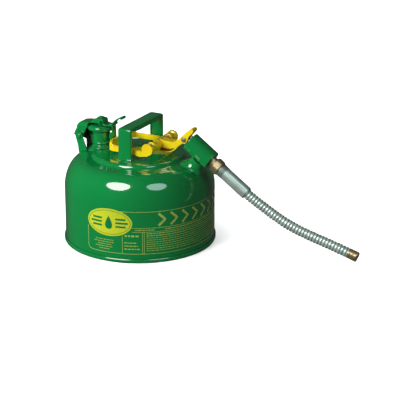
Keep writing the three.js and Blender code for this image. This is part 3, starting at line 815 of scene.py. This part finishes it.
LEG_INNER = 22
legs = [
    bent(plate(rounded(leg_outline, 1.2, 2), y, y + 2), leg_rule)
    for y in (-LEG_INNER - 2, LEG_INNER)
]
foot_xs = (-118, -114, -110, -106, -103)
foot_rings = []
for k in range(17):
    y = -LEG_INNER + 2 * LEG_INNER * k / 16
    foot_rings.append(
        [(x, y, dome_height(x, y) + CLEAR + 0.2) for x in foot_xs]
        + [(x, y, dome_height(x, y) + CLEAR + 2) for x in foot_xs[::-1]]
    )
piece(
    mesh_object("cap_hinge_bracket_legs", together(*legs, loft(foot_rings))),
    "can", green, ["cap_hinge_bracket"], bevel=0.45,
)

# The anchor plate's outline reaches up between the bracket legs, behind the neck, and its
# near-black
# steel fills that gap. It is partly a real plate and partly a sheet standing in for shade there.
anchor_outline = arc(HINGE_X, HINGE_Z, 7, 7, 20, 250, 14)
anchor_outline += [
    (-112, 176), (-112, 150), (-99.5, 150), (-99.5, 163.5), (-102, 176), (-102.6, 184), (-105, 190),
]
anchor = bent(plate(anchor_outline, -6, -4), leg_rule)
piece(
    mesh_object("cap_spring_anchor_plate", anchor),
    "can", shade_dark_steel, ["cap_spring_anchor"], bevel=0.3,
)

pin = turned_both_ends([
    (0, 26.6), (2.6, 26.5), (4.4, 25.9), (5.2, 25), (5.2, 24.3), (HINGE_PIN_R, 24.3),
], 40)
piece(
    mesh_object("cap_hinge_pin_rivet", moved(pin, along_y(HINGE_X, HINGE_Z))),
    "can", green, ["cap_hinge_pin"], sharp=45,
)
spring = moved(coil(5, 0.9, 19, 6), along_y(HINGE_X, HINGE_Z) @ shift(0, 0, -2.5))
piece(mesh_object("cap_spring_coil", spring), "can", shade_dark_steel, ["cap_spring"], sharp=60)

# ---------- Cap lever, cap and latch ----------
def pressed(line, half, sheet, cheek, radius, steps=6):
    """A pressed channel: a top sheet along a line in X and Z, with rounded long edges that turn
    down into side walls. cheek gives how far the walls reach down at each point of the line."""
    def section(i):
        depth = max(cheek(i), radius + 0.05)
        outer = [(-half, -depth), *arc(radius - half, -radius, radius, radius, 180, 90, steps)]
        outer += [(-half * 0.5, 0), (0, 0), (half * 0.5, 0)]
        outer += [*arc(half - radius, -radius, radius, radius, 90, 0, steps), (half, -depth)]
        tight = radius - sheet
        inner = [(half - sheet, -depth), *arc(half - radius, -radius, tight, tight, 0, 90, steps)]
        inner += [(half * 0.5, -sheet), (0, -sheet), (-half * 0.5, -sheet)]
        inner += arc(radius - half, -radius, tight, tight, 90, 180, steps)
        inner += [(sheet - half, -depth)]
        return outer + inner

    return swept(line, section)


hood_line = rounded([
    (-132, 184.6), (-127.4, 203.5), (-122.4, 209.6), (-112, 211.4), (-101.5, 212),
], 6, 6, closed=False)
hood = pressed(hood_line, HOOD_Y, 1.6, lambda i: 0, 9)
cheek_outline = rounded([
    (-131.2, 186), (-125, 199), (-119.6, 203.4), (-110, 204.6), (-102.6, 204.8), (-105.2, 197),
    (-109.4, 190), (-110.4, 184.5), (-112.6, 179.6), (-117.6, 177.4), (-122.8, 179.4),
    (-125.8, 184),
], 3, 4)
cheeks = [plate(cheek_outline, y, y + 1.5) for y in (-HOOD_Y + 0.15, HOOD_Y - 1.65)]
bridge_line = rounded([
    (-104, 210.2), (-99.5, 212.6), (-92, 218.6), (-88, 220.2), (-75.4, 220.2), (-72.6, 218),
    (-71.9, 211.4), (-69.6, 210.2), (LATCH_X - 5, 210.2),
], 2, 4, closed=False)


def bridge_depth(i):
    """The bridge's walls reach down to the cap, and the flat tongue in front has none."""
    x, z = bridge_line[i]
    return max(1.7, min(z - 209.8, 9) if x < -73.2 else 1.7)


bridge = pressed(bridge_line, 10, 1.5, bridge_depth, 1.6, 4)
lug_outline = rounded([
    (-63.5, 209.2), (-52.6, 208.6), (-51.4, 212.4), (-54.4, 215.2), (-58.5, 213.6),
], 2.4, 4)
lugs = [plate(lug_outline, y, y + 2.2) for y in (-10, 7.8)]
lever = mesh_object("cap_lever_pressed", together(hood, *cheeks, bridge, *lugs))
piece(lever, "filler_cap", green, ["cap_lever"], bevel=0.3, sharp=42)

SKIRT = 199
cap_profile = [(0, CAP_TOP)] + rounded([
    (9, CAP_TOP), (CAP_R - 5, CAP_TOP - 0.3), (CAP_R - 3.5, CAP_TOP - 1.4),
    (CAP_R - 1.2, CAP_TOP - 1.6), (CAP_R, CAP_TOP - 3.2), (CAP_R, SKIRT + 0.9),
    (CAP_R - 0.8, SKIRT), (CAP_R - 2, SKIRT), (CAP_R - 2, CAP_TOP - 4.4),
    (CAP_R - 4.5, CAP_TOP - 2.6), (9, CAP_TOP - 1.6),
], 0.9, 3, closed=False) + [(0, CAP_TOP - 1.6)]
piece(
    mesh_object("fill_cap_pressed", on_neck(cap_profile, 96)),
    "filler_cap", green, ["fill_cap"], sharp=50,
)
gasket = rounded([(8, 196.9), (21, 196.9), (21, 205.2), (8, 205.2)], 0.7, 3)
piece(
    mesh_object("cap_gasket_ring", on_neck(gasket, 64)),
    "filler_cap", rubber, ["cap_gasket"],
)
rivet = [
    (0, 202.6), (6, 202.6), (6, 205.2), (3, 205.4), (3, 208), (7.8, 208), (7.8, 213.2), (3, 213.4),
    (3, 220.9), (5, 221), (5, 221.9), (4.2, 222.9), (2.4, 223.4), (0, 223.5),
]
piece(
    mesh_object("cap_rivet_headed", on_neck(rivet, 40)),
    "filler_cap", green, ["cap_rivet"], sharp=45,
)

tab_line = spline([
    (LATCH_X, LATCH_Z + 1.6), (-52.4, 215.8), (-48, 220.2), (-42, 224.4), (-36, 226.6),
], 5)
strap_line = spline([
    (LATCH_X + 1.2, LATCH_Z + 0.4), (-53.4, 206), (-52.8, 198), (-52.6, 189), (-54, 183),
    (-57, 179.4), (-61, 177.6),
], 5)


def ribbon(line, half, sheet, radius):
    """A strap with rounded edges along a line in X and Z."""
    section = rounded([
        (-half, -sheet / 2), (-half, sheet / 2), (half, sheet / 2), (half, -sheet / 2),
    ], radius, 3)
    return swept(line, lambda i: section)


def strap_depth(i):
    """The strap's side flanges are low beside the cap and deeper beside the neck."""
    end = min(1, (len(strap_line) - 1 - i) / 8)
    return (2.6 + 6 * min(1, max(0, (198 - strap_line[i][1]) / 3))) * end


LATCH_HALF = 7
tab_roll = lathe(rounded([(0.5, -7.1), (2.9, -7.1), (2.9, 7.1), (0.5, 7.1)], 1, 4), 32)
knuckle = lathe(rounded([
    (1.8, -LATCH_HALF), (3.1, -LATCH_HALF), (3.1, LATCH_HALF), (1.8, LATCH_HALF),
], 0.4, 2), 32)
latch = mesh_object("cap_latch_rocker", together(
    ribbon(tab_line, LATCH_HALF, 2.8, 1.1),
    pressed(strap_line, LATCH_HALF, 1.4, strap_depth, 1.6, 4),
    moved(tab_roll, along_y(-35, 226.4)), moved(knuckle, along_y(LATCH_X, LATCH_Z)),
))
piece(latch, "cap_latch", green, ["cap_latch"], sharp=45)
latch_pin = turned_both_ends([(0, 11.9), (1.6, 11.8), (2.6, 11.2), (2.6, 10.3), (1.5, 10.3)], 28)
piece(
    mesh_object("latch_pin_riveted", moved(latch_pin, along_y(LATCH_X, LATCH_Z))),
    "filler_cap", green, ["latch_pin"], sharp=45,
)

# ---------- Outlet and valve housing ----------
PUSH_RISE = 8
STUB_BORE, STUB_START, STUB_SIDES = 11.6, 15.0, 96
stub_line = [
    (14.5, STUB_START), (14.5, 22), (15.2, 25.5), (16.9, 29), (19.4, 32.6), (22.4, 37),
    (24.4, 41.5), (25.4, 47),
]


def collar_shape():
    """The flared stub: its upper end meets the housing, and its flange blends onto the dome."""
    rings = []
    for c, s in arc(0, 0, 1, 1, 0, 360 - 360 / STUB_SIDES, STUB_SIDES - 1):
        column = []
        for r, h in spline(stub_line, 4):
            point = ON_OUTLET @ Vector((r * c, r * s, h))
            floor = dome_height(point.x, point.y) + CLEAR
            gap = point.z - floor
            blended = floor + (gap + math.sqrt(gap * gap + 3.0)) / 2
            column.append((point.x, point.y, blended))
        under = []
        for r, h in [(23, 44), (18, 42), (STUB_BORE, 40)]:
            point = ON_OUTLET @ Vector((r * c, r * s, h))
            under.append((point.x, point.y, dome_height(point.x, point.y) + CLEAR))
        top = ON_OUTLET @ Vector((STUB_BORE * c, STUB_BORE * s, STUB_START))
        rings.append([*column, *under, tuple(top)])
    return loft(rings, loop=True)


collar = mesh_object("outlet_collar_flared", collar_shape())
carve(collar, moved(rod(HOUSING_R + CLEAR, -2, HOUSING_L + 20, 0.01, 64), on_housing()))
piece(collar, "can", green, ["outlet_collar"], sharp=50)

housing_profile = [(0, 0)] + rounded([
    (9, 0), (HOUSING_R, 0), (HOUSING_R, HOUSING_L), (16, HOUSING_L), (16, 40), (15.6, 3), (9, 3),
], 1.2, 4, closed=False) + [(0, 3)]
lug = plate(rounded([
    *arc(TRIGGER_X, TRIGGER_Z, 5.6, 5.6, 55, 235, 12), (100.5, 190), (110, 190), (112, 198),
    (106, 203.5),
], 1, 2), -4, 4)
housing = mesh_object("valve_housing_tube", moved(lathe(housing_profile, 96), on_housing()))
carve(
    housing, moved(rod(10, 8, 22, 0.01, 40), ON_OUTLET),
    moved(rod(4.8, -2, 4, 0.01, 32), on_housing(0, PUSH_RISE)),
)
piece(housing, "can", green, ["valve_housing"], sharp=50)
lug_piece = mesh_object("valve_housing_lug", lug)
pivot_hole = moved(rod(3.2, -20, 20, 0.01, 32), along_y(TRIGGER_X, TRIGGER_Z))
carve(lug_piece, moved(rod(HOUSING_R - 0.4, 0.6, 60, 0.01, 64), on_housing()), pivot_hole)
piece(lug_piece, "can", green, bevel=0.5)

stem = [
    (0, -3.6), (2.2, -3.6), (3.4, -3.0), (3.6, -2.4), (3.6, -1.9), (2.5, -1.4), (2.5, 32.2),
    (0, 32.2),
]
piece(
    mesh_object("valve_stem_rod", moved(lathe(stem, 32), on_housing(0, PUSH_RISE))),
    "valve_stem", steel, ["valve_stem"],
)
valve_spring = piece(
    mesh_object("valve_spring_coil", moved(coil(4.6, 0.6, 8.8, 4), on_housing(37.1, PUSH_RISE))),
    "can", steel, ["valve_spring"], sharp=60,
)
spring_seat = on_housing(46.5, PUSH_RISE).translation * MM
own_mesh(valve_spring)
bush = rounded([(2.8, 0.4), (4.5, 0.4), (4.5, 3.2), (7, 3.3), (7, 5.5), (2.8, 5.5)], 0.3, 2)
piece(
    mesh_object("stem_bush_turned", moved(lathe(bush, 32), on_housing(0, PUSH_RISE))),
    "can", brass, ["stem_bush"],
)

# ---------- Trigger ----------
# Half of the crossbar, from its disc-shaped end past a ring to the swelling in the middle.
half_bar = spline([
    (0, 50.4), (10, 50.4), (11.1, 49.6), (11.3, 48.3), (11.1, 46.2), (10.2, 44.9), (7.8, 43.6),
    (7.3, 41.5), (7.3, 36.2), (7.9, 34.3), (9.4, 33.6), (10, 32.4), (10, 29.6), (9.4, 28.3),
    (7.9, 27.3), (7.3, 25.2), (7.6, 19), (8.4, 13.5), (9.4, 11),
], 2)
half_bar = [(max(r, 0), y) for r, y in half_bar]
bar_profile = half_bar + [(r, -y) for r, y in half_bar[::-1]]
crossbar = moved(lathe(bar_profile, 72), along_y(CROSSBAR_X, CROSSBAR_Z))


LOOP_HALF, ARM_HALF = 46, 8


def loop_shape():
    """The U-shaped finger loop: a channel section whose arms dip before they meet the crossbar."""
    end = LOOP_END_X + 3
    half = rounded([
        (CROSSBAR_X, -LOOP_HALF), (30, -LOOP_HALF), (end, -LOOP_HALF), (end, 0),
    ], 14, 10, closed=False)
    line = half + [(x, -y) for x, y in half[::-1]][1:]
    dense = []
    for a, b in zip(line, line[1:]):
        count = max(1, int(math.dist(a, b) / 4))
        dense += [tuple(Vector(a).lerp(Vector(b), k / count)) for k in range(count)]
    dense.append(line[-1])
    rings = []
    for i, (x, y) in enumerate(dense):
        out = -outward(dense, i)
        lip = max(0, min(1, (LOOP_END_X + 12 - x) / 8)) * 6.7
        dip = -2.4 * math.exp(-((x - 27) / 9) ** 2)
        bottom, top = -5.3 + dip, 5.2 + dip
        section = rounded([
            (3, bottom), (3, top + lip), (0.2 - 0.2 * lip, top + lip),
            (0.2 - 0.3 * lip, top - 1.8 + lip * 0.8), (-1.4 - 0.2 * lip, top - 2.2 + lip * 0.5),
            (-3, top - 0.6), (-3, bottom),
        ], 0.9, 3)
        rings.append([(x + out.x * u, y + out.y * u, LOOP_Z + v) for u, v in section])
    return loft(rings)


arm_outline = rounded([
    (40, 184), (52, 183.4), (60, 183.6), (69, 184), (78, 186.4), (87, 192.5), (93.6, 197.8),
    (99, 197.8), (103, 202), (107, 212.4), (115.4, 221.4), (116.2, 225), (113.8, 228),
    (109.8, 227.6), (95.5, 214.6), (88.5, 207), (78, 198.9), (70, 197), (58, 198), (50, 199),
    (40, 197),
], 3.5, 4)
arm = mesh_object("trigger_lever_arm", plate(arm_outline, -ARM_HALF, ARM_HALF))
# The slot under the arm takes the housing's lug.
slot_outline = [
    *arc(TRIGGER_X, TRIGGER_Z, 6.6, 6.6, 90, 290, 16), (99, 192), (112, 196), (114.5, 212.5),
    (112.5, 215.4), (103, 213),
]
carve(arm, plate(slot_outline, -4.5, 4.5), pivot_hole)
piece(arm, "trigger", yellow, bevel=0.9, sharp=32, steps=3)
flange = [(42, 182.6), (45, 178.8), (52, 176.8), (62, 176.9), (70, 178.8), (78, 184.6), (83, 189.6)]
flange_plate = plate(strip(spline(flange, 4), 2), -ARM_HALF, ARM_HALF)
lever_parts = together(crossbar, loop_shape(), flange_plate)
piece(
    mesh_object("trigger_lever_loop", lever_parts),
    "trigger", yellow, ["trigger_lever"], bevel=0.25, sharp=50,
)
trigger_rivet = turned_both_ends([
    (0, 10.6), (2.2, 10.5), (3.9, 9.9), (4.8, 8.9), (4.8, 8.3), (3, 8.3),
], 36)
piece(
    mesh_object("trigger_rivet_domed", moved(trigger_rivet, along_y(TRIGGER_X, TRIGGER_Z))),
    "can", dull_steel, ["trigger_rivet"], sharp=45,
)


# ---------- Printed panel on the wall ----------
# A plain badge with a drop, a frame, chevrons and rows of dashes, all as thin raised ink.
INK_R = WALL_R + 0.06
INK_THICK = 0.12


def on_wall(angle, z, lift=0.0):
    """A point on the wall at an angle in degrees."""
    a = math.radians(angle)
    return ((INK_R + lift) * math.cos(a), (INK_R + lift) * math.sin(a), z)


MM_PER_DEGREE = math.radians(1) * INK_R


def stroke(points, width, lift=0.0):
    """A printed line along (angle, z) points."""
    flat = [(a * MM_PER_DEGREE, z) for a, z in points]
    dense = [flat[0]]
    for a, b in zip(flat, flat[1:]):
        count = max(1, int(math.dist(a, b) / 3))
        dense += [tuple(Vector(a).lerp(Vector(b), (k + 1) / count)) for k in range(count)]
    left, right = offset(dense, width / 2), offset(dense, -width / 2)
    rings = []
    for (u0, z0), (u1, z1) in zip(left, right):
        a0, a1 = u0 / MM_PER_DEGREE, u1 / MM_PER_DEGREE
        rings.append([
            on_wall(a0, z0, lift), on_wall(a1, z1, lift), on_wall(a1, z1, lift + INK_THICK),
            on_wall(a0, z0, lift + INK_THICK),
        ])
    return loft(rings)


def spot(angle, z, outline, lift=0.0, thick=INK_THICK, rings=5):
    """A printed patch: an outline of (mm across, mm up) round a centre on the wall."""
    layers = []
    for height in (lift, lift + thick):
        for k in range(1, rings + 1):
            s = k / rings if height == lift else 1 - (k - 1) / rings
            layers.append([
                on_wall(angle + u * s / MM_PER_DEGREE, z + v * s, height) for u, v in outline
            ])
    count = len(outline)
    points, faces = loft(layers, caps=False)
    points += [on_wall(angle, z, lift), on_wall(angle, z, lift + thick)]
    low, high = len(points) - 2, len(points) - 1
    last = (len(layers) - 1) * count
    faces += [(k, (k + 1) % count, low) for k in range(count)]
    faces += [(last + k, last + (k + 1) % count, high) for k in range(count)]
    return points, faces


# The frame's sides are angles in degrees round the wall, and its bottom, top and rules are heights.
LEFT, RIGHT, BOTTOM, TOP = -102.3, 41, 17.2, 97.6
UPPER_RULE, LOWER_RULE, RULE_START = 66.8, 59.4, -66.5
frame_path = [
    (-75.5, TOP), (RIGHT - 2, TOP), (RIGHT, TOP - 5), (RIGHT, BOTTOM + 5), (RIGHT - 2, BOTTOM),
    (LEFT + 3.4, BOTTOM), (LEFT + 1.2, BOTTOM + 1.6), (LEFT, BOTTOM + 6), (LEFT, 62),
]
lines = [
    stroke(frame_path, 0.9),
    stroke([(RULE_START, UPPER_RULE), (RIGHT, UPPER_RULE)], 0.8),
    stroke([(RULE_START, LOWER_RULE), (RIGHT, LOWER_RULE)], 0.7),
    stroke([(-73.8, BOTTOM), (-73.8, 54.5)], 0.8),
    stroke([(-58.9, BOTTOM), (-58.9, LOWER_RULE)], 0.8),
    stroke([(-57.6, BOTTOM), (-57.6, LOWER_RULE)], 0.8),
]
CHEVRONS, CHEVRON_STEP = 9, 9.6
chevrons = []
for k in range(CHEVRONS):
    a = -47 + k * CHEVRON_STEP
    chevrons.append(stroke([(a, 93.6), (a + 5.2, 82), (a, 70.4)], 4.4))
dashes = []


def row(start, end, z, height, phase, gap=0.5):
    """A row of dashes of uneven length between two angles."""
    at, k = start, phase
    while at < end - 0.6:
        size = 0.9 + 1.5 * abs(math.sin(k * 2.3 + 0.7))
        dashes.append(stroke([(at, z), (min(at + size, end), z)], height))
        at += size + gap
        k += 1


for k, inset in enumerate((1.2, 0, 3, 1, 4)):
    row(-96.5 + inset, -79.5 - inset, 41 - k * 4.4, 1.1, k * 3)
row(-72, -61.5, 51.6, 3.0, 4, 0.9)
for k in range(3):
    row(-72.4, -60.8 + (k - 2) * 1.2, 38.4 - k * 6, 1.7, 11 + k)
row(-64, -49.5, 63.1, 1.7, 5)
row(-42, RIGHT - 4, 63.1, 1.9, 9)
for k in range(9):
    row(-56, RIGHT - 3 - (k % 3) * 5, 56.2 - k * 4.1, 1.5 if k < 2 else 1.05, 20 + 5 * k)
for name, strokes in (
    ("printed_frame_lines", lines), ("printed_chevrons", chevrons), ("printed_dashes", dashes),
):
    piece(mesh_object(name, together(*strokes)), "can", ink, sharp=30)

BADGE_A, BADGE_Z = -84.3, 75
MARK_LIFT = 0.28
BADGE_SIDES = 72
oval = arc(0, 0, 44, 26, 0, 360 - 360 / BADGE_SIDES, BADGE_SIDES - 1)
piece(
    mesh_object("printed_badge", spot(BADGE_A, BADGE_Z, oval, INK_THICK, 0.14)),
    "can", badge_ink, sharp=30,
)
inner_oval = arc(0, 0, 40.5, 22.6, 0, 360, BADGE_SIDES)
inner_line = [(BADGE_A + u / MM_PER_DEGREE, BADGE_Z + v) for u, v in inner_oval]
drop = []
for k in range(40):
    t = 2 * math.pi * k / 40
    drop.append((9.5 * math.sin(t) * math.sin(t / 2) ** 1.3, 12.6 * math.cos(t)))
bars = []
for side in (-1, 1):
    for rise in (-7, 0, 7):
        reach = 14.6 - abs(rise) * 0.22
        ends = [(BADGE_A + side * u, BADGE_Z + rise) for u in (5.4, reach)]
        bars.append(stroke(ends, 3.4, MARK_LIFT))
badge_marks = together(
    stroke(inner_line, 0.8, MARK_LIFT), spot(BADGE_A, BADGE_Z, drop, MARK_LIFT), *bars,
)
piece(mesh_object("printed_badge_marks", badge_marks), "can", green_ink, sharp=30)

# ---------- CAD pieces that stay as they are ----------
KEPT = {
    "pour_flame_arrester": screen, "valve_seat": brass, "valve_disc": rubber, "outlet_ring": brass,
}
for name, finish in KEPT.items():
    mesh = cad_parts[name].data
    mesh.materials.clear()
    mesh.materials.append(finish)

# ---------- Floor and light ----------
def floor_look():
    """Pale matt paper."""
    look = Look("pale_floor", specular=0.1)
    look.colour(look.ramp(look.noise(3, 2), (0.3, 0.86), (0.7, 0.9)))
    look.roughness(look.ramp(look.noise(12, 2), (0.3, 0.7), (0.7, 0.85)))
    return look.material


FLOOR_HALF, FLOOR_Z = 30000, -0.2
floor_corners = [
    (x * FLOOR_HALF, y * FLOOR_HALF, FLOOR_Z) for x, y in ((-1, -1), (1, -1), (1, 1), (-1, 1))
]
floor = mesh_object("floor", (floor_corners, [(0, 1, 2, 3)]))
floor.visible_glossy = False
floor.visible_diffuse = False
floor.data.materials.append(floor_look())

CENTRE = Vector((0, 0, 0.12))
VIEW_AZIMUTH = 26.97


def lamp(name, azimuth, elevation, distance, size, power, colour):
    """An oval area lamp that faces the can. Its azimuth is counted from the camera's."""
    data = bpy.data.lights.new(name, "AREA")
    data.shape, data.size, data.size_y = "ELLIPSE", size[0], size[1]
    data.energy, data.color = power, colour
    obj = link(bpy.data.objects.new(name, data))
    a, e = math.radians(VIEW_AZIMUTH + azimuth), math.radians(elevation)
    way = Vector((math.sin(a) * math.cos(e), -math.cos(a) * math.cos(e), math.sin(e)))
    obj.location = CENTRE + way * distance
    obj.rotation_mode = "QUATERNION"
    obj.rotation_quaternion = (-way).to_track_quat("-Z", "Y")
    return obj


def soft_box(*details):
    """A box that is seen in the enamel but adds nothing to its shading."""
    lamp(*details).visible_diffuse = False


def shading(*details):
    """A lamp that shades the can but isn't seen in the enamel."""
    lamp(*details).visible_glossy = False


soft_box("key", -37.5, 42, 2.2, (1.3, 1.15), 37, (1, 1, 0.95))
soft_box("fill", 33, 42, 2.2, (1.05, 1.02), 10, (0.72, 0.97, 1))
shading("front", -42, 18, 2.4, (1.2, 1.2), 48, (1, 1, 0.98))
shading("right", 48, 22, 2.4, (1.2, 1.2), 9, (0.9, 1, 0.95))
shading("left", -95, 30, 2.4, (1.6, 1.6), 38, (1, 1, 1))
shading("rear", 165, 10, 2.4, (1.8, 1.8), 34, (1, 1, 1))

# A wide sun that lights only the floor keeps it pale without washing out the enamel.
sky = bpy.data.lights.new("floor_light", "SUN")
sky.energy, sky.angle = 3.0, math.radians(60)
sky_lamp = link(bpy.data.objects.new("floor_light", sky))
lit = bpy.data.collections.new("lit_by_floor_light")
lit.objects.link(floor)
sky_lamp.light_linking.receiver_collection = lit

world = bpy.data.worlds.new("studio")
bpy.context.scene.world = world
world.use_nodes = True
world.node_tree.nodes["Background"].inputs["Color"].default_value = (1, 1, 1, 1)
world.node_tree.nodes["Background"].inputs["Strength"].default_value = 0.05
bpy.context.scene.view_settings.view_transform = "Standard"
